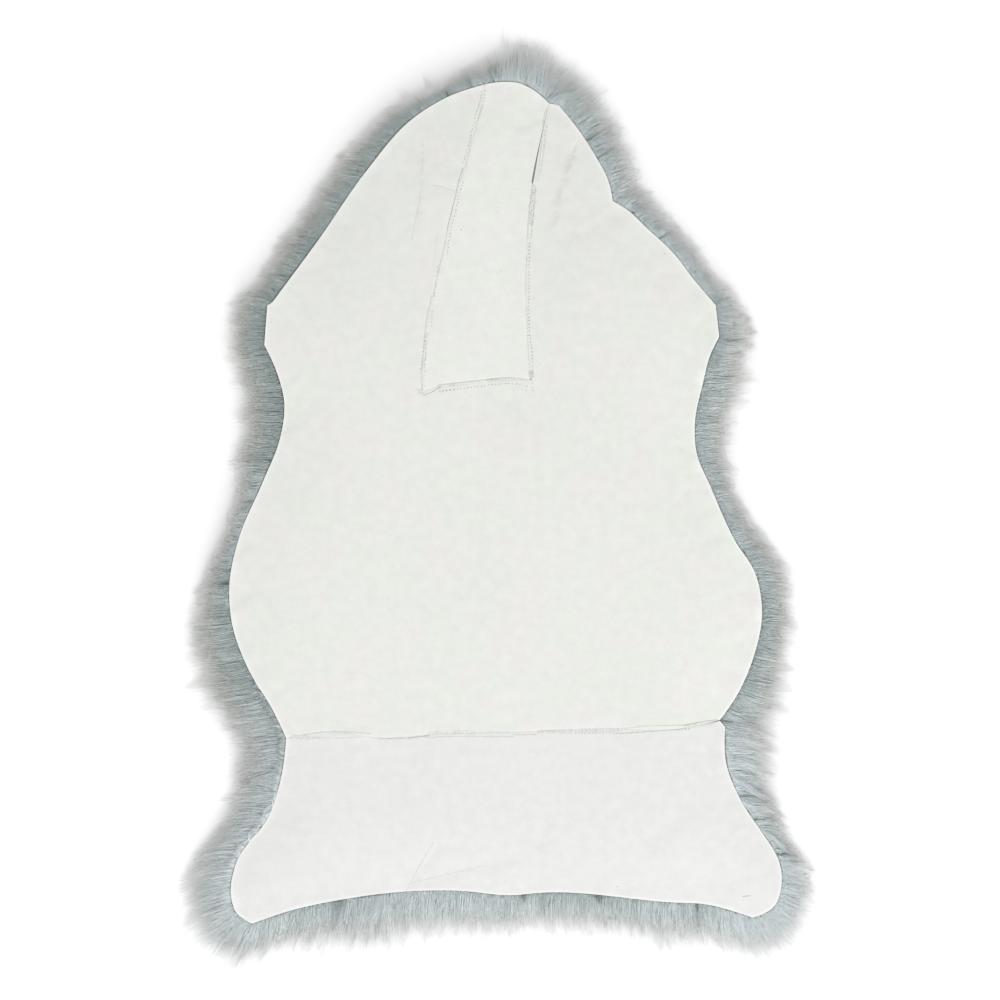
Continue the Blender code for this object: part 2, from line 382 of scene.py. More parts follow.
sheet = wholeSheet()
seams = [
    Seam(seamLine(sheet, 1, placed((-15, 416))), neckGapes),
    Seam(seamLine(sheet, 2, placed((-214, -238))), rumpGapes),
]
cutEdge = np.array([point.co[:] for point in edgeLoop(sheet)])
for _ in range(2):
    refine(sheet)
    rounded(sheet, passes=4)
    cutEdge = np.stack([cutEdge, halfway(cutEdge)], axis=1).reshape(-1, 3)
cutEdge = cutEdge[:, :2]
skinSurface = BVHTree.FromBMesh(sheet)
sheet.free()


def overSkin(x, y):
    # how high the skin's upper face is there, or None past the cut edge
    hit = skinSurface.ray_cast(Vector((x, y, 1.0)), Vector((0, 0, -1)))[0]
    return hit and hit.z


def skinHeight(x, y):
    # the same, or the height of the nearest edge for a place just past it
    height = overSkin(x, y)
    return skinSurface.find_nearest(Vector((x, y, skin["level"])))[0].z if height is None else height


print("cut edge of", len(cutEdge), "points, seams of", [round(seam.length, 3) for seam in seams], "m")


skin = {
    "level": 30 * mm,             # about where its upper face lies
    "thickness": 2.0 * mm,
    "edgeRounding": 0.5 * mm,
    "fineBand": 9 * mm,           # finer mesh within this of the cut edge and the seams
    "seamBand": 5 * mm,           # and finest within this of a seam
    "builtGap": 0.35 * mm,        # between the cuts as they come
    "seamDip": 0.22 * mm,
    "seamDipWidth": 1.4 * mm,
    "seamLip": 0.1 * mm,
    "seamLipFrom": 3 * mm,
    "seamLipWidth": 2.2 * mm,
    "gapeWidth": 2.5 * mm,        # how far from a seam its gaping moves the skin
    "edgeLip": 0.3 * mm,
    "edgeLipWidth": 2.0 * mm,
    "sharp": 1.0,                 # edges that turn more than this, in radians, are rounded
    "creaseMargin": 2,            # finer mesh within twice a crease's width and this, in mm
    "woolUnder": 0.6 * mm,        # how far under the skin any wool stays
}

# Soft troughs and ridges: their line, half width and depth in mm, ridges negative, and how strongly a
# darker yellowish tint follows them
creases = rows(
    "line width depth soil",
    ([(76, 355), (70, 336), (66, 326), (65, 318)], 1.4, 0.5, 0.85),
    ([(70, 345), (64, 330), (61, 316), (60, 308)], 1.6, -0.4, 0.35),
    ([(60, 310), (57, 292), (54, 276)], 2.6, 0.5, 0.5),
    ([(112, 292), (96, 284), (80, 272)], 4, -0.7, 0.0),
    ([(108, 284), (96, 274), (66, 262)], 6, 0.7, 0.15),
    ([(-78, 361), (-78, 341), (-79, 293), (-82, 278)], 1.3, 0.3, 0.3),
    ([(-76, 314), (-44, 308)], 1.4, 0.3, 0.25),
    ([(-64, 270), (-65, 233)], 3, 0.3, 0.1),
    ([(18, 371), (30, 374), (41, 380)], 2.5, 0.4, 0.25),
    ([(9, 100), (27, 82)], 5, 0.5, 0.1),
    ([(-92, -390), (-60, -345)], 5, 0.8, 0.1),
    ([(-75, -380), (20, -358)], 6, 0.6, 0.1),
    ([(40, -345), (50, -320)], 5, 0.6, 0.1),
    ([(150, -345), (190, -310)], 9, 0.7, 0.1),
    ([(-170, -236), (-150, -234), (-130, -235)], 2.5, -0.6, 0.0),
)
for crease in creases:
    crease["run"] = Line(placed(crease["line"]))

# Greyer patches of skin: where (pattern mm), how far they spread in mm, and how grey
patches = rows(
    "at spread grey",
    ((-100, 300), 60, 0.14),
    ((-160, 235), 50, 0.14),
    ((72, 320), 45, 0.35),
    ((55, 215), 40, 0.3),
    ((-60, 190), 40, 0.25),
)

roughEdge = Line(closed(cutEdge[::4]))


def atEdge(points):
    return bell(edge.nearest(points)[0], skin["edgeLipWidth"])


def creased(points, what):
    # the creases' depth or darker tint at each point
    return sum(crease[what] * bell(crease["run"].nearest(points)[0], crease["width"] * mm)
               for crease in creases)


def greyed(points):
    offs = [np.linalg.norm(points - placed(patch["at"]), axis=1) for patch in patches]
    return sum(patch["grey"] * bell(off, patch["spread"] * mm) for patch, off in zip(patches, offs))


def pressedIn(points):
    # how far creases, seams and the cut edge's lip move the skin's surface
    rise = -creased(points, "depth") * mm
    for seam in seams:
        off = seam.nearest(points)[0]
        rise -= skin["seamDip"] * bell(off, skin["seamDipWidth"])
        rise += skin["seamLip"] * bell(off - skin["seamLipFrom"], skin["seamLipWidth"])
    return rise + skin["edgeLip"] * atEdge(points)


def nearSeam(points, band):
    return np.min([seam.nearest(points)[0] for seam in seams], axis=0) < band


def nearFeature(points):
    # the points near the cut edge, a seam or a crease
    near = nearSeam(points, skin["fineBand"]) | (roughEdge.nearest(points)[0] < skin["fineBand"])
    for crease in creases:
        near |= crease["run"].nearest(points)[0] < (skin["creaseMargin"] + 2 * crease["width"]) * mm
    return near


def gaping(points):
    # moves one cut's points next to a seam so that it gapes or closes as it is sewn
    moved = points.copy()
    for seam in seams:
        off, where = seam.nearest(points)
        left = toLeft(seam.way(where))
        aside = np.einsum("ij,ij->i", points - seam.point(where), left)
        side = np.sign(aside[off < skin["seamBand"]].sum())
        more = (seam.gap(where) - skin["builtGap"]) / 2 * bell(off, skin["gapeWidth"])
        moved += side * left * more[:, None]
    return moved


def skinPiece(cut, material):
    maker = upperFace(cut)
    refine(maker)
    refine(maker)
    refine(maker, nearFeature)
    refine(maker, lambda points: nearSeam(points, skin["seamBand"]))
    points = maker.verts[:]
    spots = flat(points)
    for point, spot, move in zip(points, gaping(spots), pressedIn(spots)):
        point.co = (*spot, skinHeight(*point.co.xy) + move)
    under = bmesh.ops.extrude_face_region(maker, geom=maker.faces[:])["geom"]
    for point in under:
        if isinstance(point, bmesh.types.BMVert):
            point.co.z -= skin["thickness"]
    bmesh.ops.recalc_face_normals(maker, faces=maker.faces[:])
    sharp = [line for line in maker.edges if line.calc_face_angle(0.0) > skin["sharp"]]
    bmesh.ops.bevel(
        maker, geom=sharp, offset=skin["edgeRounding"], segments=2, affect="EDGES",
        profile=0.5, material=-1, clamp_overlap=True, offset_type="OFFSET",
    )
    spots = flat(maker.verts)
    mesh = fromMaker("skin_" + cut, maker)
    carry(mesh, "soil", creased(spots, "soil"))
    carry(mesh, "grey", greyed(spots))
    # rim: where the painted highlight along the cut edge goes
    carry(mesh, "rim", atEdge(spots))
    piece = shown("skin_" + cut, mesh, material)
    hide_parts("hide_" + cut)
    print("skin of the", cut, "with", len(mesh.polygons), "faces")


skinLook = {
    "clouds": (24.0, 3.0),        # each noise by its scale, detail and roughness
    "mottle": (90.0, 4.0, 0.6),
    "nap": (520.0, 3.0, 0.65),
    "cloudRange": (0.4, 0.6),
    "brightness": 1.1,
    "mottleShade": 0.15,
    "napShade": 0.055,
    "bump": {"nap": 0.7, "mottle": 0.5, "depth": 0.35 * mm, "strength": 0.6},
    "grey": paint(216, 216, 214),
    "soil": paint(186, 186, 170),
    # rim: the colour of the painted highlight along the cut edge, and how strongly it shows
    "rim": paint(240, 241, 238),
    "rimHighlightShare": 0.6,
}


def skinFinish(name, colour, tint):
    # sueded skin: cloudy tone, a fibrous nap, a darker tint along creases and a painted highlight along the
    # cut edge
    finish = Finish(name, {"Roughness": 0.88, "Specular IOR Level": 0.25})
    where = finish.where()
    clouds, mottle, nap = (finish.noise(where, *skinLook[layer]) for layer in ("clouds", "mottle", "nap"))
    base = finish.mix(finish.between(clouds, *skinLook["cloudRange"]), colour, tint)
    base = finish.mix(finish.carried("grey"), base, skinLook["grey"])
    base = finish.shaded(
        base, skinLook["brightness"] - skinLook["mottleShade"] * mottle - skinLook["napShade"] * nap)
    base = finish.mix(finish.carried("soil") * mottle, base, skinLook["soil"])
    bump = skinLook["bump"]
    return finish.done({
        "Base Color": finish.mix(finish.carried("rim") * skinLook["rimHighlightShare"], base, skinLook["rim"]),
        "Normal": finish.bump(nap * bump["nap"] + mottle * bump["mottle"], bump["depth"], bump["strength"]),
    })


# How the wool lies past the cut edge: where (pattern mm), how far (mm), heading in
# degrees with 90 towards the neck, and how pale (0 to 1)
lie = rows(
    "at reach heading pale",
    ((20, 417), 41, 80, 0.82),
    ((-15, 416), 25, 104, 0.58),
    ((-60, 399), 14, 130, 0.4),
    ((-92, 378), 27, 152, 0.2),
    ((-128, 337), 35, 170, 0.16),
    ((-195, 242), 33, 166, 0.1),
    ((-214, 216), 30, 168, 0.12),
    ((-236, 170), 40, 178, 0.1),
    ((-216, 97), 47, 182, 0.05),
    ((-228, 40), 42, 184, 0.2),
    ((-242, 5), 24, 184, 0.62),
    ((-260, -36), 18, 184, 0.5),
    ((-271, -86), 32, 184, 0.3),
    ((-266, -130), 46, 186, 0.3),
    ((-240, -190), 63, 188, 0.35),
    ((-216, -240), 56, 188, 0.6),
    ((-226, -302), 51, 188, 0.9),
    ((-255, -348), 51, 190, 0.95),
    ((-266, -405), 52, 204, 1.0),
    ((-248, -424), 52, 245, 0.85),
    ((-210, -411), 41, 256, 0.65),
    ((-154, -399), 56, 262, 0.68),
    ((-120, -395), 58, 262, 0.78),
    ((-40, -391), 48, 266, 0.76),
    ((26, -394), 41, 270, 0.62),
    ((125, -398), 43, 272, 0.6),
    ((170, -402), 49, 275, 0.74),
    ((202, -404), 44, 276, 0.7),
    ((240, -414), 53, 290, 0.9),
    ((281, -385), 37, 340, 1.0),
    ((270, -343), 29, 345, 0.9),
    ((247, -310), 38, 345, 0.9),
    ((226, -255), 54, 345, 1.0),
    ((224, -212), 58, 345, 0.55),
    ((250, -165), 40, 350, 0.4),
    ((262, -112), 32, 355, 0.35),
    ((252, -66), 39, 358, 0.6),
    ((216, 0), 25, 0, 0.55),
    ((197, 47), 35, 2, 0.52),
    ((203, 116), 50, 5, 0.5),
    ((218, 174), 32, 10, 0.42),
    ((204, 210), 22, 20, 0.7),
    ((160, 262), 24, 28, 0.72),
    ((121, 295), 31, 28, 0.68),
    ((84, 363), 38, 28, 0.62),
    ((54, 396), 45, 42, 0.68),
)

# Height of the wool over the floor in mm, by its share of the way out to the rim
loft = {
    "share": (-0.3, 0.0, 0.04, 0.12, 0.25, 0.4, 0.55, 0.75, 0.9, 1.0, 1.2),
    "height": (23.8, 26.3, 27.5, 27.7, 26.4, 23.5, 19.5, 12.5, 7.5, 4.2, 1.6),
}

# Tones of wool run from 0, dark, to 1, pale: ordinary wool has at least this one, and wool in partings and
# shadowed locks has less, which darkens it with painted shade
toneOf = {"ordinary": 0.12, "parting": 0.02}

# Where the wool parts (pattern mm), and how wide in mm; the wool there is pushed aside and gets painted
# shade
partings = rows(
    "at width",
    ((-52, 405), 2.2),
    ((-28, 412), 1.8),
    ((-6, 417), 2.0),
    ((242, -295), 2.0),
    ((256, -318), 2.0),
    ((275, -355), 2.2),
    ((-120, -395), 2.5),
    ((-262, -72), 1.8),
    ((-230, 40), 1.6),
    ((160, 262), 1.8),
    ((130, 285), 1.5),
    ((90, 362), 2.0),
    ((102, 345), 1.6),
    ((197, -404), 2.6),
    ((-222, -280), 2.0),
)


class Edge(Line):
    # the cut edge as a closed line that carries the wool's lie
    def __init__(self, ring, steps=3, bow=0.45):
        # outwards is read over some steps each way, and the wool bows out by a share
        super().__init__(closed(ring))
        self.bow = bow
        ahead = np.roll(ring, -steps, axis=0) - np.roll(ring, steps, axis=0)
        ahead /= np.linalg.norm(ahead, axis=1)[:, None]
        self.out = -toLeft(closed(ahead))
        found = sorted((self.placeOf(placed(row["at"])), row["reach"] * mm,
                        math.radians(row["heading"]), row["pale"]) for row in lie)
        self.at, self.reaches, self.headings, self.pales = np.array(found).T
        self.partings = [(self.placeOf(placed(row["at"])), row["width"] * mm) for row in partings]

    def point(self, where):
        return self.read(np.mod(where, self.length), self.points)

    def outward(self, where):
        found = self.read(np.mod(where, self.length), self.out)
        return found / np.linalg.norm(found, axis=-1, keepdims=True)

    def told(self, where, values):
        return np.interp(where, self.at, values, period=self.length)

    def lieWay(self, where):
        found = np.stack([self.told(where, np.cos(self.headings)),
                          self.told(where, np.sin(self.headings))], axis=-1)
        return found / np.linalg.norm(found, axis=-1, keepdims=True)

    def reach(self, where):
        return self.told(where, self.reaches)

    def pale(self, where):
        return self.told(where, self.pales)

    def past(self, where, share):
        # a place a share of the way from the cut edge to the wool's rim
        way, out = self.lieWay(where), self.outward(where)
        bent = share[..., None] * way
        bent = bent + self.bow * (share * np.clip(1 - share, 0, 1))[..., None] * (out - way)
        return self.point(where) + bent * self.reach(where)[..., None]

    def parting(self, where):
        # how far the wool is pushed along the edge by partings, and how deep their painted shade is there
        push, dark = np.zeros_like(where), np.zeros_like(where)
        for place, width in self.partings:
            off = np.mod(where - place + self.length / 2, self.length) - self.length / 2
            push += np.sign(off) * width * np.exp(-np.abs(off) / (2 * width))
            dark += bell(off, width)
        return push, dark


edge = Edge(cutEdge)


def loftAt(share):
    return np.interp(share, loft["share"], loft["height"]) * mm


# The bed goes out by these shares of the wool's reach. Its surface is lumpy, the more so
# up to a share, and the lumps drift along the edge as they go out
bed = {
    "shares": (0.03, 0.1, 0.18, 0.27, 0.36, 0.46, 0.54),
    "depths": (0.97, 0.96, 0.93, 0.88, 0.79, 0.6, 0.35),      # its height against the loft
    "under": 3.0 * mm,            # below the skin's upper face
    "thinnest": 3 * mm,
    "lump": {"height": 1.0 * mm, "pitch": 9 * mm, "turn": 0.3, "drift": 0.05, "upTo": 0.25},
    "tuft": {"height": 4.5 * mm, "pitch": 26 * mm, "turn": 0.6},      # on its underside
    "rim": {"from": 0.15, "over": 2.5 * mm},      # where it hangs free, over the floor
    "restRadius": 70 * mm,
}


def lumps(x, y, form):
    # slow uneven waves, about -1 to 1
    pitch, turn = form["pitch"], form["turn"]
    a, b = math.cos(turn) * x + math.sin(turn) * y, math.cos(turn) * y - math.sin(turn) * x
    near, far = 2 * math.pi / pitch, 2 * math.pi / (pitch * 1.7)
    return 0.6 * np.sin(near * a + 1.9 * np.sin(far * b)) * np.cos(near * b) + 0.4 * np.sin(far * a - 2.1)


def woolBed(material):
    # the dense wool under the skin and just past it, with tufts on its underside
    maker = wholeSheet()
    refine(maker)
    rounded(maker, passes=3)
    refine(maker)
    for point in maker.verts:
        point.co.z = skinHeight(*point.co.xy) - bed["under"]
    past = maker.verts.layers.float.new("past")
    pale = maker.verts.layers.float.new("pale")
    loop = edgeLoop(maker)
    start = loop[0].co.copy()
    where = edge.nearest(flat(loop))[1]
    pales = edge.pale(where)
    lumpy = bed["lump"]
    for share, depth in zip(bed["shares"], bed["depths"]):
        border = [line for line in maker.edges if line.is_boundary]
        bmesh.ops.extrude_edge_only(maker, edges=border)
        outer = edgeLoop(maker, start)
        reached = edge.past(where, np.full(len(where), share))
        rough = lumps(where, np.full(len(where), share * lumpy["drift"]), lumpy)
        rough = rough * lumpy["height"] * min(1, share / lumpy["upTo"])
        for point, place, lump, tone in zip(outer, reached, rough, pales):
            point.co = (*place, loftAt(share) * depth + lump)
            point[past] = share
            point[pale] = tone
        start = outer[0].co.copy()
    under = bmesh.ops.extrude_face_region(maker, geom=maker.faces[:])["geom"]
    under = [point for point in under if isinstance(point, bmesh.types.BMVert)]
    spots = flat(under)
    tufted = np.clip(0.5 + 0.5 * lumps(*spots.T, bed["tuft"]), 0.0, 1.0) * bed["tuft"]["height"]
    middle = np.linalg.norm(spots, axis=1) < bed["restRadius"]
    for point, tuft, rest in zip(under, tufted, middle):
        low = bed["rim"]["over"] if point[past] > bed["rim"]["from"] else tuft
        point.co.z = 0.0 if rest else min(low, point.co.z - bed["thinnest"])
    bmesh.ops.recalc_face_normals(maker, faces=maker.faces[:])
    piece = shown("wool_bed", fromMaker("wool_bed", maker), material)
    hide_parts("fleece_body", "fleece_neck", "fleece_rump")
    print("wool bed with", len(piece.data.polygons), "faces")


# Colours of the darkest and the palest wool, each with its share of the way to the rim
woolLook = {
    "dark": (
        (0.0, 152, 165, 163), (0.1, 157, 171, 169), (0.25, 177, 188, 185), (0.4, 198, 205, 202),
        (0.55, 213, 216, 210), (0.7, 231, 232, 227), (0.85, 249, 249, 246),
    ),
    # the palest wool is lighter right at the skin's edge: painted light against the shadow there
    "pale": (
        (0.0, 246, 252, 253), (0.08, 230, 238, 240), (0.2, 224, 232, 234), (0.4, 227, 233, 234),
        (0.55, 234, 238, 238), (0.7, 243, 245, 245), (0.85, 251, 252, 252),
    ),
    # partings and shadowed locks get painted shade: darkest up to the first share, hardly darker from the
    # second
    "partingShadeRange": (0.15, 0.6),   # wool in partings is darkest up to the first share
    "partingShadeLevels": (0.5, 0.95),  # and hardly darker from the second
    "fluff": (260.0, 4.0, 0.7),
    "fluffShades": (0.8, 0.36),
    "fluffDepth": 1.2 * mm,
}


def woolColour(finish, tone, along):
    # from the skin's edge to the rim, darker wool and paler wool, with painted shade where it parts
    colour = finish.mix(tone, finish.ramp(along, woolLook["dark"]), finish.ramp(along, woolLook["pale"]))
    deepest = finish.between(along, *woolLook["partingShadeRange"], *woolLook["partingShadeLevels"])
    # tones under the ordinary one darken the colour: painted shade
    return finish.shaded(colour, finish.between(tone, 0.0, toneOf["ordinary"], deepest, 1.0))


def bedFinish():
    finish = Finish("woolRoots", {"Roughness": 0.95, "Specular IOR Level": 0.1})
    fluff = finish.noise(finish.where(), *woolLook["fluff"])
    colour = woolColour(finish, finish.carried("pale"), finish.carried("past"))
    least, more = woolLook["fluffShades"]
    return finish.done({
        "Base Color": finish.shaded(colour, least + more * fluff),
        "Normal": finish.bump(fluff, woolLook["fluffDepth"]),
    })


def strandFinish():
    finish = Finish("woolStrands", {"Roughness": 0.8, "Specular IOR Level": 0.2})
    spot = finish.node("UVMap", {"uv_map": "OFBake"})
    tone, along = (finish.node("SeparateXYZ", None, {0: spot}, output=axis) for axis in (0, 1))
    return finish.done({"Base Color": woolColour(finish, tone, along)})


strand = {
    "count": 42000,
    "perPiece": 10000,            # at most 18 triangles each, so under 200,000 a piece
    "toneCells": 64,              # across the map, and how far inside a cell its strands keep
    "cellMargin": 0.1,
    "tone": 0.08,                 # how much the tones of single strands differ
    "ends": 0.7,                  # and their ends, against the layer's own figure
    "shares": (0.22, 1.25),       # least length and furthest end, against the reach
    "frizz": 0.45 * mm,
    "upDown": 0.4 * mm,
    "rootSink": 0.8 * mm,
    "overFloor": 0.5 * mm,
    "thickness": (0.75, 1.25),
    "gatherCurve": 1.3,           # how late a strand joins its lock's middle
    "pushed": (1.6, 1.3),         # how far partings push it: at its root, and less at its tip
    "long": {"stations": (0.0, 0.1, 0.4, 0.72, 1.0), "taper": (0.0, 1.0, 1.0, 0.6, 0.0)},
    "short": {"stations": (0.0, 0.3, 0.68, 1.0), "taper": (0.0, 1.0, 0.6, 0.0)},
}

lock = {
    "pitch": 5.5 * mm,
    "width": 3.2 * mm,
    "lean": 2.2 * mm,
    "leanCurve": 1.5,
    "ends": 0.85,                 # how much the ends of locks differ, as for strands
    "wave": (0.3, 1.6),           # in mm
    "turns": (0.6, 1.2),          # waves along a lock
    "tone": 0.09,
    "lift": 0.03,
    "fanAt": 0.55,                # locks are spaced evenly at this share of the way out
    "samples": 2000,
    "evenness": 0.25,             # with 0 the fan alone would space them
}

# Layers of wool from the skin down: their part of the whole, how they are built, where
# they start and end as shares of the reach, their height as a share of the loft, the
# thickness in mm of a strand, and how much of the usual fading towards the rim they show
layers = rows(
    "part build start end level radius gather fading",
    (0.31, "long", (-0.07, 0.04), (0.72, 0.15), (0.96, 1.04), 0.24, (0.2, 0.7), 1.0),
    (0.22, "long", (0.0, 0.3), (0.76, 0.15), (0.88, 1.0), 0.22, (0.2, 0.7), 1.0),
    (0.12, "short", (0.1, 0.34), (0.68, 0.12), (0.5, 0.8), 0.24, (0.2, 0.6), 1.0),
    (0.06, "short", (0.28, 0.44), (0.66, 0.1), (0.12, 0.45), 0.24, (0.1, 0.4), 1.0),
    (0.26, "short", (0.2, 0.55), (0.92, 0.15), (0.6, 1.08), 0.12, (0.2, 0.9), 0.9),
    (0.03, "long", (0.0, 0.3), (1.1, 0.09), (0.98, 1.18), 0.13, (0.3, 0.95), 0.6),
)

# Locks that stand out from the rest: where they leave the edge (pattern mm), heading in degrees, length and
# half width in mm, how much paler they are than the wool round them, sideways bend and wave in mm, and how
# many strands; a tone that falls below the ordinary one paints shade into a shadowed lock
tufts = rows(
    "at heading reach width tone bend wave count",
    ((46, 399), 16, 30, 1.1, -0.22, 3, 0.6, 34),
    ((8, 418), 92, 50, 5.0, 0.25, 0, 1.2, 26),
    ((22, 416), 86, 48, 5.0, 0.25, 1, 1.2, 22),
    ((38, 409), 77, 54, 6.0, 0.25, 1, 1.2, 30),
    ((-64, 396), 118, 32, 5.0, 0.3, -3, 1.0, 22),
    ((-82, 385), 128, 34, 5.0, 0.3, -3, 1.0, 20),
    ((-244, -5), 184, 20, 1.2, -0.4, 1, 0.3, 30),
    ((-268, -83), 184, 26, 1.4, -0.4, 2, 0.3, 30),
    ((-222, -272), 186, 44, 3.5, -0.15, 5, 1.2, 90),
    ((-226, -284), 170, 40, 3.0, -0.1, 4, 1.2, 80),
    ((-134, -397), 258, 54, 4.0, 0.0, -3, 1.0, 90),
    ((-118, -396), 256, 56, 3.5, 0.0, -3, 1.0, 90),
    ((-160, -401), 262, 30, 3.5, -0.45, -3, 0.8, 80),
    ((24, -393), 262, 9, 1.6, -0.5, 2, 0.4, 25),
    ((98, -396), 268, 10, 2.0, -0.5, 2, 0.4, 30),
    ((216, 182), -30, 33, 3.6, 0.12, 19, 0.6, 90),
    ((215, 170), -34, 34, 3.6, -0.02, 22, 0.6, 90),
    ((213, 158), -32, 35, 3.6, 0.1, 22, 0.6, 80),
    ((208, 146), -26, 34, 3.4, -0.04, 17, 0.6, 70),
    ((221, -221.5), 355, 14, 0.6, -0.6, 1, 0.3, 14),
    ((228, -262), 344, 52, 3.5, 0.0, 3, 4.4, 110),
    ((233, -276), 340, 46, 3.0, -0.1, -3, 4.2, 100),
    ((246, -302), 335, 38, 3.0, 0.0, 5, 3.8, 100),
    ((262, -334), 338, 36, 3.0, -0.1, -4, 3.4, 90),
    ((277, -368), 342, 36, 3.0, 0.0, 5, 3.0, 90),
    ((226, -240), 350, 50, 3.0, 0.0, -4, 3.8, 100),
)

# How the strands of such a lock differ from each other
tuftForm = {
    "lengths": 0.09,
    "narrowing": (0.3, 0.85),     # how much of its width it loses by its tip
    "narrowingCurve": 1.2,
    "waviness": 5.6,              # radians along it
    "frizz": 0.4 * mm,
    "rootsBack": 0.04,            # how far under the skin it starts, against its length
    "level": (1.0, 1.08),         # its height against the loft
    "over": 0.3 * mm,
    "rootSink": 1.5 * mm,
    "tone": 0.06,
    "radius": 0.2,                # in mm
    "thickness": (0.6, 1.1),
}

# Short clipped curls that stand at the edge between two places on it, in mm
curls = {
    "from": (-226, -178),
    "to": (-250, -372),
    "pitch": 4.5 * mm,
    "uneven": 1.5 * mm,
    "turned": 35,                 # in degrees
    "reach": (7, 12),
    "width": (1.5, 3.0),
    "tone": (-0.15, 0.25),
    "bend": 3.0,
    "wave": 1.6,
    "count": 22,
}


def lockPlaces(locks):
    # places for locks along the cut edge, closer together where the wool fans out
    fine = np.linspace(0, edge.length, lock["samples"])
    fanned = edge.past(fine, np.full(len(fine), lock["fanAt"]))
    spread = np.linalg.norm(np.diff(fanned, axis=0), axis=1)
    along = np.concatenate([[0.0], np.cumsum(spread + lock["evenness"] * edge.length / len(fine))])
    return np.interp((np.arange(locks) + chance.random(locks)) / locks * along[-1], along, fine)


def layerStrands(layer):
    # centre lines, tones, places along the edge and thickness of one layer's strands
    build = strand[layer["build"]]
    t = np.array(build["stations"])
    amount = round(strand["count"] * layer["part"])
    locks = round(edge.length / lock["pitch"])
    lockAt = lockPlaces(locks)
    mine = chance.integers(0, locks, amount)
    usualEnd, endSpread = layer["end"]
    lean = chance.normal(0, lock["lean"], locks)[mine]
    lockEnd = usualEnd + chance.normal(0, endSpread * lock["ends"], locks)
    size = (chance.uniform(*lock["wave"], locks) * mm)[mine]
    phase = chance.uniform(0, 2 * math.pi, locks)[mine]
    turns = chance.uniform(*lock["turns"], locks)[mine]
    lockTone = chance.normal(0, lock["tone"], locks)[mine]
    lift = chance.normal(0, lock["lift"], locks)[mine]
    where = lockAt[mine] + chance.normal(0, lock["width"], amount)
    push, dark = edge.parting(where)
    start = chance.uniform(*layer["start"], amount)
    end = lockEnd[mine] + chance.normal(0, endSpread * strand["ends"], amount)
    shortest, furthest = strand["shares"]
    end = np.clip(end, start + shortest, furthest)
    share = start[:, None] + (end - start)[:, None] * t
    middle = edge.past(lockAt[mine][:, None] + np.zeros_like(share), share)
    own = edge.past(where[:, None] + np.zeros_like(share), share)
    gather = chance.uniform(*layer["gather"], amount)[:, None] * t ** strand["gatherCurve"]
    place = own + (middle - own) * gather[..., None]
    across = toLeft(edge.lieWay(where)[:, None, :])
    wave = size[:, None] * np.sin(phase[:, None] + 2 * math.pi * turns[:, None] * t)
    frizz = chance.normal(0, strand["frizz"], share.shape) * t
    aside = lean[:, None] * t ** lock["leanCurve"] + (wave - wave[:, :1]) * t + frizz
    first, fading = strand["pushed"]
    # the edge runs with the sheet on its left, so onwards is to the right of outwards
    place = place + across * (aside - push[:, None] * t * (first - fading * t))[..., None]
    level = chance.uniform(*layer["level"], amount)[:, None] + lift[:, None] * t
    height = loftAt(share) * level + chance.normal(0, strand["upDown"], share.shape) * t
    height[:, 0] -= strand["rootSink"]
    tone = edge.pale(where) + lockTone + chance.normal(0, strand["tone"], amount)
    # dark is how much painted shade a parting puts on the strand
    dark = np.clip(dark, 0, 1)
    return {
        "line": np.concatenate([place, np.maximum(height, strand["overFloor"])[..., None]], axis=-1),
        "tone": np.maximum(tone, toneOf["ordinary"]) * (1 - dark) + toneOf["parting"] * dark,
        "along": share * layer["fading"],
        "where": np.mod(where, edge.length),
        "radius": chance.uniform(*strand["thickness"], amount) * layer["radius"] * mm,
        "build": build,
    }


def tuftStrands(tuft, place0):
    # the strands of one lock that has its own heading
    t = np.array(strand["long"]["stations"])
    amount = tuft["count"]
    aside = chance.normal(0, tuft["width"] * mm, amount)
    where = place0 + aside
    heading = math.radians(tuft["heading"])
    way = np.array([math.cos(heading), math.sin(heading)])
    length = tuft["reach"] * mm * chance.normal(1.0, tuftForm["lengths"], amount)[:, None]
    middle = edge.point(np.array([place0]))
    narrowing = chance.uniform(*tuftForm["narrowing"], amount)[:, None]
    narrow = 1 - narrowing * t ** tuftForm["narrowingCurve"]
    phase = chance.uniform(0, 2 * math.pi)
    bend = tuft["bend"] * mm * t ** 2 * np.ones((amount, 1))
    bend = bend + tuft["wave"] * mm * (np.sin(phase + tuftForm["waviness"] * t) - math.sin(phase)) * t
    bend = bend + chance.normal(0, tuftForm["frizz"], bend.shape) * t
    roots = (edge.point(where) - middle)[:, None, :] * narrow[..., None]
    place = middle + roots + length[..., None] * (t[:, None] - tuftForm["rootsBack"]) * way
    place = place + toLeft(way) * bend[..., None]
    off = edge.nearest(place.reshape(-1, 2))[0]
    share = off.reshape(place.shape[:2]) / edge.reach(np.array([place0]))
    height = loftAt(share) * chance.uniform(*tuftForm["level"], amount)[:, None] + tuftForm["over"]
    height[:, 0] -= tuftForm["rootSink"]
    return {
        "line": np.concatenate([place, height[..., None]], axis=-1),
        "tone": edge.pale(where) + tuft["tone"] + chance.normal(0, tuftForm["tone"], amount),
        "along": share,
        "where": np.mod(where, edge.length),
        "radius": chance.uniform(*tuftForm["thickness"], amount) * tuftForm["radius"] * mm,
        "build": strand["long"],
    }


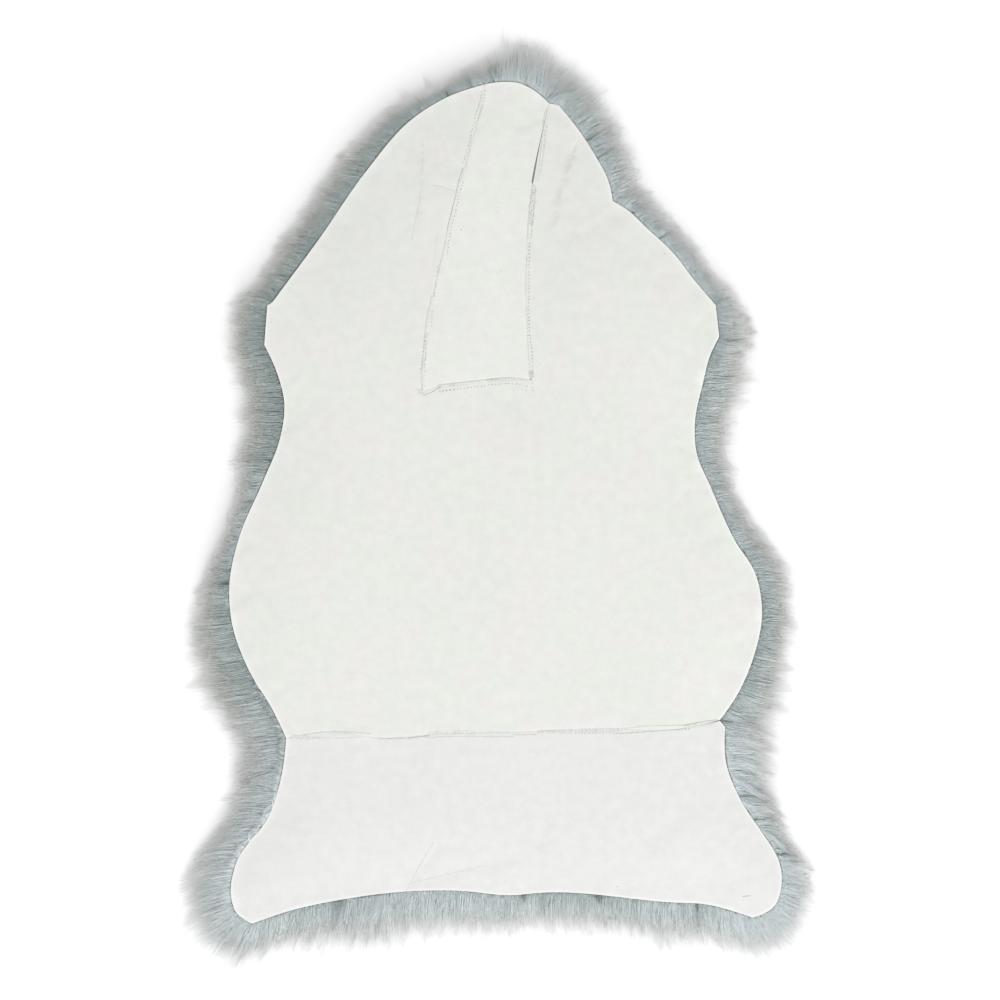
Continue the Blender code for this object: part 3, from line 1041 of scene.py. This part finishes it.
def curlTufts():
    # the clipped wool along one stretch of the edge, as short tufts
    first, last = (edge.placeOf(placed(curls[end])) for end in ("from", "to"))
    places = np.arange(first, last, curls["pitch"] * math.copysign(1, last - first))
    made = []
    for place in places + chance.normal(0, curls["uneven"], len(places)):
        out = edge.outward(np.array([place]))[0]
        made.append((place, {
            "heading": math.degrees(math.atan2(out[1], out[0])) + chance.normal(0, curls["turned"]),
            "reach": chance.uniform(*curls["reach"]), "width": chance.uniform(*curls["width"]),
            "tone": chance.uniform(*curls["tone"]), "bend": chance.normal(0, curls["bend"]),
            "wave": curls["wave"], "count": curls["count"],
        }))
    return made


def tucked(lines):
    # keeps wool below the skin wherever it lies under it
    for point in lines.reshape(-1, 3):
        height = overSkin(point[0], point[1])
        if height is not None:
            point[2] = min(point[2], height - skin["thickness"] - skin["woolUnder"])
    return lines


def spindles(name, lines, radius, tones=None, along=None, sides=3):
    # a mesh of closed strands along lines, pointed at both ends; a tone picks the strand's
    # cell across the map, and how far each station is from the skin runs up the map
    count, stations = lines.shape[:2]
    inner = stations - 2
    ahead = np.gradient(lines, axis=1)[:, 1:-1]
    ahead /= np.linalg.norm(ahead, axis=-1, keepdims=True)
    across = np.stack([-ahead[..., 1], ahead[..., 0], np.zeros_like(ahead[..., 0])], axis=-1)
    across /= np.maximum(np.linalg.norm(across, axis=-1, keepdims=True), 1e-6)
    angles = np.arange(sides) * 2 * math.pi / sides - math.pi / 2
    ring = (np.cos(angles)[:, None] * across[:, :, None, :]
            + np.sin(angles)[:, None] * np.cross(ahead, across)[:, :, None, :])
    rings = lines[:, 1:-1, None, :] + ring * radius[:, 1:-1, None, None]
    each = inner * sides + 2
    points = np.concatenate([lines[:, :1], rings.reshape(count, -1, 3), lines[:, -1:]], axis=1)
    faces, spots = [], []
    for level in range(stations - 1):
        low = 1 + (level - 1) * sides
        for side in range(sides):
            a, b = low + side, low + (side + 1) % sides
            left, right = side / sides, (side + 1) / sides
            if level == 0:
                faces.append((0, b + sides, a + sides))
                spots += [(left, 0), (right, 1), (left, 1)]
            elif level == stations - 2:
                faces.append((a, b, each - 1))
                spots += [(left, level), (right, level), (left, level + 1)]
            else:
                faces.append((a, b, b + sides, a + sides))
                spots += [(left, level), (right, level), (right, level + 1), (left, level + 1)]
    mesh = copies(name, points, faces)
    if tones is not None:
        cells, margin = strand["toneCells"], strand["cellMargin"]
        cell = np.clip(np.floor(tones * cells), 0, cells - 1)
        spots = np.array(spots)
        u = (cell[:, None] + margin + (1 - 2 * margin) * spots[None, :, 0]) / cells
        v = np.clip(along, 0.01, 0.99)[:, spots[:, 1].astype(int)]
        layer = mesh.uv_layers.new(name="OFBake")
        layer.data.foreach_set("uv", np.stack([u, v], axis=-1).reshape(-1).astype(np.float32))
    return mesh


def woolStrands(material):
    groups = [layerStrands(layer) for layer in layers]
    standing = [(edge.placeOf(placed(tuft["at"])), tuft) for tuft in tufts] + curlTufts()
    groups += [tuftStrands(tuft, place) for place, tuft in standing]
    number = 0
    for kind in ("long", "short"):
        build = strand[kind]
        chosen = [group for group in groups if group["build"] is build]
        lines, tones, along, wheres, radius = (
            np.concatenate([group[part] for group in chosen])
            for part in ("line", "tone", "along", "where", "radius"))
        lines = tucked(lines)
        order = np.argsort(wheres, kind="stable")
        for part in np.array_split(order, math.ceil(len(order) / strand["perPiece"])):
            number += 1
            name = f"wool_locks_{number}"
            thick = radius[part][:, None] * build["taper"]
            mesh = spindles(name, lines[part], thick, tones[part], along[part])
            shown(name, mesh, material)
            print("wool locks", number, "with", len(part), "strands")


stitch = {
    "thread": 0.2 * mm,
    "arch": 0.35 * mm,
    "sink": 0.05 * mm,            # of a thread's ends
    "slant": 0.4,
    "points": 5,                  # along each thread
    "looseHeights": (0.1, 0.7, 1.2, 0.8, 0.4),    # of a loose end's points, in mm
    "pitDepth": 0.16 * mm,
    "unevenness": 0.14,           # in a mark's place along its run, against the pitch
    "sizes": (0.75, 1.2),
    "tones": 0.05,
}

# Wool in a gaping seam: tufts that lie under the skin's face and reach under both cuts; its dark colour is
# partly painted shade in the gap
gapeWool = {"pitch": 1.2 * mm, "length": 1.7 * mm, "tucked": 0.2 * mm, "sink": 0.35 * mm}

# The kinds of marks on the skin, from sewing and from sharp creases, whose dark colour is painted shade in
# needle holes, seam grooves and folds: pitch, half length, half width and sideways spread in mm, and
# whether a mark lies across its run
sewnAs = {
    "line": {"pitch": 1.9, "length": 1.8, "width": 0.55, "across": False, "spread": 0.08},
    "dots": {"pitch": 3.5, "length": 0.85, "width": 0.7, "across": False, "spread": 0.2},
    "bars": {"pitch": 3.6, "length": 2.1, "width": 0.5, "across": True, "spread": 0.4},
    "specks": {"pitch": 0.55, "length": 0.6, "width": 0.55, "across": False, "spread": 1.5},
    "ticks": {"pitch": 2.1, "length": 0.9, "width": 0.5, "across": True, "spread": 0.2},
    "folds": {"pitch": 1.6, "length": 1.7, "width": 0.45, "across": False, "spread": 0.05},
}

# Where each kind of mark runs, in pattern mm, and how faint its painted shade is: 0 dark, 1 hardly seen
marks = rows(
    "as faint run",
    # left neck seam, downwards
    ("dots", 0.76, [(-18, 410), (-20, 398), (-24, 386), (-27, 373), (-30, 362), (-33, 349), (-36.5, 336)]),
    ("line", 0.88, [(-18.5, 405), (-20.5, 396), (-24, 386)]),
    ("dots", 0.72, [(-14.6, 411), (-15.5, 401), (-18.5, 390), (-22, 380), (-25.5, 370)]),
    ("line", 0.86, [(-17, 395), (-20, 385), (-25, 371)]),
    ("line", 0.8, [(-28.5, 364), (-30.5, 352), (-31.5, 346), (-33, 339), (-34.2, 332)]),
    ("line", 0.62, [(-37, 331), (-41.5, 318), (-45.2, 301), (-50, 283), (-52.5, 271)]),
    ("line", 0.78, [(-52.5, 271), (-55.5, 253), (-57.5, 244), (-59.5, 238)]),
    ("dots", 0.7, [(-36.7, 319), (-40.6, 305), (-44.5, 287), (-48, 274), (-51, 259), (-53, 245)]),
    ("dots", 0.5, [(-59.5, 240), (-61, 231), (-62, 227)]),
    ("dots", 0.6, [(-64, 219), (-65.5, 212), (-66.3, 203)]),
    ("line", 0.78, [(-68.7, 204), (-70, 195), (-72.5, 188), (-73.3, 180), (-74.8, 166)]),
    ("dots", 0.8, [(-67.5, 190), (-68.5, 174)]),
    ("dots", 0.5, [(-74.2, 164), (-76.5, 148), (-79, 131)]),
    ("line", 0.85, [(-76.5, 148), (-79, 128), (-78, 110)]),
    ("dots", 0.85, [(-73.4, 158), (-75.4, 130), (-75.6, 112)]),
    ("ticks", 0.62, [(-61.6, 234), (-63, 222), (-65.8, 203)]),
    ("ticks", 0.58, [(-74.6, 169), (-76.2, 150), (-77.6, 131)]),
    ("ticks", 0.76, [(-72.6, 167), (-74, 150), (-75.4, 133)]),
    # its foot, to the right
    ("line", 0.68, [(-76, 104.5), (-69, 107.2), (-62, 111.4), (-59, 113.2)]),
    ("line", 0.72, [(-63, 113.5), (-60, 115.4), (-47, 116.4), (-35, 117.7), (0, 121.8), (14, 121.8)]),
    ("line", 0.82, [(14, 121.8), (27, 120.6)]),
    ("dots", 0.6, [(-62, 108.3), (-45, 110.6), (-30, 112.3), (0, 116), (11, 116.2), (22, 115.7)]),
    ("dots", 0.86, [(-52, 114), (-37, 114.5), (-30, 115)]),
    ("line", 0.78, [(-13, 119.6), (-2, 120.6)]),
    ("ticks", 0.84, [(-12, 118), (2, 119.4), (14, 119.6), (27, 119)]),
    # right neck seam, downwards
    ("line", 0.86, [(49, 396), (47, 391), (44.8, 387)]),
    ("line", 0.78, [(44.8, 387), (43.7, 381), (42.4, 373)]),
    ("ticks", 0.68, [(47, 376), (45, 364), (43.4, 349), (42.3, 339), (40.3, 329), (37.8, 318)]),
    ("ticks", 0.77, [(44.8, 375), (42.6, 364), (40.9, 349), (40, 339), (37.8, 329), (36, 320)]),
    ("specks", 0.66, [(34.3, 315), (32.4, 301), (31.2, 290), (29.8, 274)]),
    ("ticks", 0.58, [(35.2, 311), (34.6, 298), (33.6, 288), (32.4, 276), (30.8, 260)]),
    ("ticks", 0.64, [(32, 311), (30.6, 298), (29.2, 288), (28.2, 276), (28, 260)]),
    ("dots", 0.64, [(30, 258), (29.3, 248), (28.9, 212), (28.8, 190), (29.5, 168), (31.5, 153),
        (32.6, 140), (32.7, 125)]),
    ("line", 0.84, [(26.6, 242), (25.8, 225), (25.7, 205)]),
    ("dots", 0.82, [(27.2, 194), (28, 184), (28, 150), (28.3, 140), (28.6, 124)]),
    ("dots", 0.68, [(32.3, 118), (32.5, 113), (33.6, 108)]),
    ("dots", 0.74, [(27.2, 115), (26.5, 112), (25.7, 108)]),
    # rump seam, to the right
    ("line", 0.88, [(-207, -235), (-197, -235.3), (-186, -233)]),
    ("line", 0.74, [(-186, -233), (-178, -232), (-169, -231.2), (-158, -231.4), (-150, -232)]),
    ("line", 0.87, [(-150, -232), (-138, -232.8), (-129, -233.8)]),
    ("bars", 0.88, [(-211, -238), (-180, -237.5)]),
    ("line", 0.88, [(-188, -238), (-164, -238), (-138, -236.8)]),
    ("line", 0.74, [(-123, -238), (-112, -238.6), (-95, -238)]),
    ("line", 0.6, [(-92, -238.3), (-84, -237.2), (-77, -236.2), (-71, -235.2)]),
    ("bars", 0.82, [(-72, -232.6), (-50, -232.2), (-31, -231.5)]),
    ("dots", 0.68, [(-46, -233.4), (-28, -233.4)]),
    ("bars", 0.86, [(-31, -231.8), (10, -231.8)]),
    ("line", 0.88, [(-76, -237), (-69, -237.6), (-54, -236.5), (-33, -236.3), (13, -236.6)]),
    ("line", 0.8, [(13, -234.6), (35, -234.4)]),
    ("line", 0.72, [(40, -230.6), (52, -230.2)]),
    ("bars", 0.85, [(37, -232.5), (53, -232), (120, -231.5)]),
    ("dots", 0.8, [(53, -229.6), (100, -229.2), (121, -229.2)]),
    ("dots", 0.84, [(70, -233.5), (100, -233), (116, -233)]),
    ("line", 0.72, [(116, -233.3), (125, -233), (141, -232), (162, -230.2), (183, -229.2)]),
    ("line", 0.9, [(121, -228.5), (150, -225.7), (183, -225.3)]),
    ("dots", 0.58, [(180, -229.4), (192, -228)]),
    ("line", 0.74, [(183, -225.3), (191, -224), (199.5, -222.4), (208, -221), (216, -220)]),
    ("bars", 0.88, [(183, -227.4), (200, -225.5), (214, -223.5)]),
    # the sharp middles of creases, with painted shade along their folds
    ("folds", 0.94, [(-77, 362), (-77, 340), (-78, 318), (-80, 300), (-84, 280), (-88, 260)]),
    ("folds", 0.95, [(-65.6, 314), (-56, 312.5), (-46, 309)]),
    ("folds", 0.95, [(-62, 270), (-64, 252), (-67, 235)]),
    ("folds", 0.94, [(75, 352), (70, 336), (66, 326), (65, 318)]),
    ("folds", 0.95, [(-66.6, -342), (-80, -365), (-93, -390)]),
    ("folds", 0.96, [(-91.5, -384), (-60, -376), (-13, -365)]),
)

# Loose thread ends and the knot at the foot of the right neck seam, in pattern mm
looseThreads = [
    [(-23, 416), (-21, 414.5), (-19, 417), (-17, 415), (-14.5, 417.5)],
    [(-19, 419), (-18, 416), (-16, 414), (-14, 416), (-12.5, 414)],
    [(-16, 412), (-15.5, 415), (-13.5, 417.5), (-12.5, 419), (-11, 418)],
    [(55, 393), (56, 395.5), (57, 397), (57.5, 399), (59, 400)],
    [(-84, 111), (-82, 110), (-80, 107.5), (-79, 106), (-76, 105)],
    [(-82, 105), (-80.5, 106.5), (-79, 109), (-77.5, 110), (-77, 112)],
    [(30, 129), (33.5, 127.5), (31, 125), (29, 123), (32.5, 120.5)],
    [(33, 130), (29.5, 127), (33, 124.5), (33.5, 122.5), (30, 120)],
    [(29, 126), (31, 127.5), (33.5, 125.5), (32, 123), (30, 123.5)],
]

# Specks, nicks, scratches and the knot's shadow: where (pattern mm), heading in degrees,
# half length and half width in mm, and how faint
blemishes = rows(
    "at heading length width faint",
    ((-39, 270), 30, 0.9, 0.6, 0.7),
    ((1, 229), 0, 0.8, 0.6, 0.75),
    ((-4, 292), 70, 0.8, 0.5, 0.8),
    ((164, 245), 60, 3.0, 0.3, 0.75),
    ((247.5, -396), 6, 4.2, 0.4, 0.45),
    ((244, -396.6), 3, 1.6, 0.5, 0.6),
    ((117, -386.6), 10, 1.6, 0.6, 0.75),
    ((31, 120.8), 0, 2.2, 0.7, 0.4),
)


def surfaceAt(spots):
    return np.array([skinHeight(*spot) for spot in spots]) + pressedIn(spots)


def overSurface(spots, lifts):
    # threads through places on the skin, at heights over it
    heights = surfaceAt(spots.reshape(-1, 2)).reshape(len(spots), stitch["points"]) + lifts
    return np.concatenate([spots, heights[..., None]], axis=-1)


def pits(name, slot, material, spots, ways, lengths, widths, faints, sink=0.0):
    # small rounded pits at the skin's surface, each drawn out along its way
    shape = bmesh.new()
    bmesh.ops.create_uvsphere(shape, u_segments=8, v_segments=4, radius=1.0)
    shape.verts.index_update()
    faces = [[corner.index for corner in face.verts] for face in shape.faces]
    local = np.array([point.co[:] for point in shape.verts])
    shape.free()
    along = local[None, :, :1] * lengths[:, None, None] * ways[:, None]
    aside = local[None, :, 1:2] * widths[:, None, None] * toLeft(ways)[:, None]
    points = np.empty((len(spots), len(local), 3))
    points[..., :2] = spots[:, None] + along + aside
    points[..., 2] = surfaceAt(spots)[:, None] + local[None, :, 2] * stitch["pitDepth"] - sink
    mesh = copies(name, points, faces)
    carry(mesh, "faint", np.repeat(faints, len(local)))
    shown(name, mesh, material)


def evenly(first, last, pitch):
    where = np.arange(first + pitch / 2, last, pitch)
    return where + chance.uniform(-1, 1, len(where)) * stitch["unevenness"] * pitch


def sewnMarks(mark):
    # one run's marks, and the threads between them if they are bars
    kind = sewnAs[mark["as"]]
    run = Line(placed(mark["run"]))
    where = evenly(0.0, run.length, kind["pitch"] * mm)
    way = run.way(where)
    aside = chance.normal(0, kind["spread"] * mm, len(where))[:, None]
    made = {
        "spots": run.point(where) + toLeft(way) * aside,
        "ways": toLeft(way) if kind["across"] else way,
        "lengths": chance.uniform(*stitch["sizes"], len(where)) * kind["length"] * mm,
        "widths": chance.uniform(*stitch["sizes"], len(where)) * kind["width"] * mm,
        "faints": mark["faint"] + chance.normal(0, stitch["tones"], len(where)),
    }
    if mark["as"] != "bars":
        return made, []
    turns = np.linspace(-1.0, 1.0, stitch["points"])[None, :, None]
    middle = run.point(where + kind["pitch"] / 2 * mm)[:, None]
    over = middle + (toLeft(way)[:, None] * kind["length"] + way[:, None] * stitch["slant"]) * mm * turns
    return made, [overSurface(over, stitch["arch"] * (1 - turns[..., 0] ** 2) - stitch["sink"])]


def blemish(mark):
    heading = math.radians(mark["heading"])
    return {
        "spots": placed([mark["at"]]),
        "ways": np.array([[math.cos(heading), math.sin(heading)]]),
        "lengths": np.array([mark["length"] * mm]),
        "widths": np.array([mark["width"] * mm]),
        "faints": np.array([mark["faint"]]),
    }


def sewing(threadMaterial, markMaterial, gapeMaterial):
    groups, threads = [blemish(mark) for mark in blemishes], []
    for mark in marks:
        made, over = sewnMarks(mark)
        groups.append(made)
        threads += over
    joined = {part: np.concatenate([group[part] for group in groups]) for part in groups[0]}
    # the marks' dark colour is painted shade in holes, seam grooves and folds, along with real specks,
    # nicks and scratches
    pits("painted_shade_and_marks", "skin", markMaterial, **joined)
    seam = seams[0]
    where = np.arange(seam.ends[1], seam.ends[-2], gapeWool["pitch"])
    pits("shaded_wool_in_seam", "wool", gapeMaterial, seam.point(where), seam.way(where),
         np.full(len(where), gapeWool["length"]), seam.gap(where) / 2 + gapeWool["tucked"],
         np.zeros(len(where)), gapeWool["sink"])
    ends = np.array([placed(line) for line in looseThreads])
    lines = np.concatenate(threads + [overSurface(ends, np.array(stitch["looseHeights"]) * mm)])
    radius = np.full(lines.shape[:2], stitch["thread"])
    shown("thread", spindles("thread", lines, radius, sides=5), threadMaterial)
    print("sewing with", len(joined["spots"]), "marks and", len(lines), "threads")


# Two colours for each of the sewing's materials, mixed by a noise or by how faint a mark is
sewingLook = {
    "thread": {
        "matt": 0.6, "gloss": 0.5, "noise": (1500.0, 2.0),
        "dark": paint(206, 208, 203), "pale": paint(236, 236, 231),
    },
    # painted shade in needle holes, seam grooves and folds, and the colour of real specks, nicks and
    # scratches
    "paintedShadeAndMarks": {
        "matt": 0.9, "gloss": 0.1, "noise": None,
        "dark": paint(108, 114, 111), "pale": paint(217, 219, 214),
    },
    # wool in a gaping seam: teal wool darkened with painted shade in the gap
    "shadedWoolInSeam": {
        "matt": 0.95, "gloss": 0.1, "noise": (900.0, 3.0, 0.6),
        "dark": paint(98, 114, 112), "pale": paint(146, 160, 157),
    },
}


def sewingFinish(name):
    look = sewingLook[name]
    finish = Finish(name, {"Roughness": look["matt"], "Specular IOR Level": look["gloss"]})
    share = finish.noise(finish.where(), *look["noise"]) if look["noise"] else finish.carried("faint")
    return finish.done({"Base Color": finish.mix(share, look["dark"], look["pale"])})


# Each cut's flat size in m and m2, and the two colours that cloud it
cuts = rows(
    "name flat area colours",
    ("body", (0.533, 0.654), 0.2348, (paint(219, 223, 216), paint(222, 221, 218))),
    ("neck", (0.126, 0.311), 0.0245, (paint(222, 225, 218), paint(224, 224, 220))),
    ("rump", (0.551, 0.203), 0.0829, (paint(219, 220, 218), paint(220, 220, 219))),
)

woolBed(bedFinish())
for cut in cuts:
    skinPiece(cut["name"], skinFinish("skin_" + cut["name"], *cut["colours"]))
woolStrands(strandFinish())
sewing(sewingFinish("thread"), sewingFinish("paintedShadeAndMarks"), sewingFinish("shadedWoolInSeam"))

studio = {
    "floor": 30.0,
    "floorColour": (0.95, 0.95, 0.95, 1.0),
    "sky": 0.82,
    "lamp": 98.0,
    "lampSize": 2.8,
    "lampPlace": (1.1, -2.8, 3.4),
    "cameraHeight": 5.0,
    "frameWidth": 1.0,            # metres of skin that the picture's width takes in
    "clipEnd": 50.0,
}


def setStudio():
    bpy.ops.mesh.primitive_plane_add(size=studio["floor"])
    floor = bpy.context.object
    floor.name = "floor"
    finish = Finish("floorPaint", {"Roughness": 0.9, "Base Color": studio["floorColour"],
                                   "Specular IOR Level": 0.0})
    floor.data.materials.append(finish.material)
    world = bpy.data.worlds.new("studio")
    bpy.context.scene.world = world
    world.use_nodes = True
    sky = world.node_tree.nodes["Background"]
    sky.inputs["Color"].default_value = (1.0, 1.0, 1.0, 1.0)
    sky.inputs["Strength"].default_value = studio["sky"]
    lamp = bpy.data.objects.new("lamp", bpy.data.lights.new("lamp", "AREA"))
    lamp.data.energy, lamp.data.size = studio["lamp"], studio["lampSize"]
    lamp.location = studio["lampPlace"]
    lamp.rotation_euler = (-lamp.location).to_track_quat("-Z", "Y").to_euler()
    bpy.context.scene.collection.objects.link(lamp)
    camera = bpy.data.objects.new("camera", bpy.data.cameras.new("camera"))
    camera.data.lens = camera.data.sensor_width * studio["cameraHeight"] / studio["frameWidth"]
    camera.location = (pattern["x"], pattern["y"], studio["cameraHeight"] + skin["level"])
    camera.data.clip_end = studio["clipEnd"]
    bpy.context.scene.collection.objects.link(camera)
    bpy.context.scene.camera = camera
    bpy.context.scene.view_settings.view_transform = "Standard"


setStudio()
print("studio set")
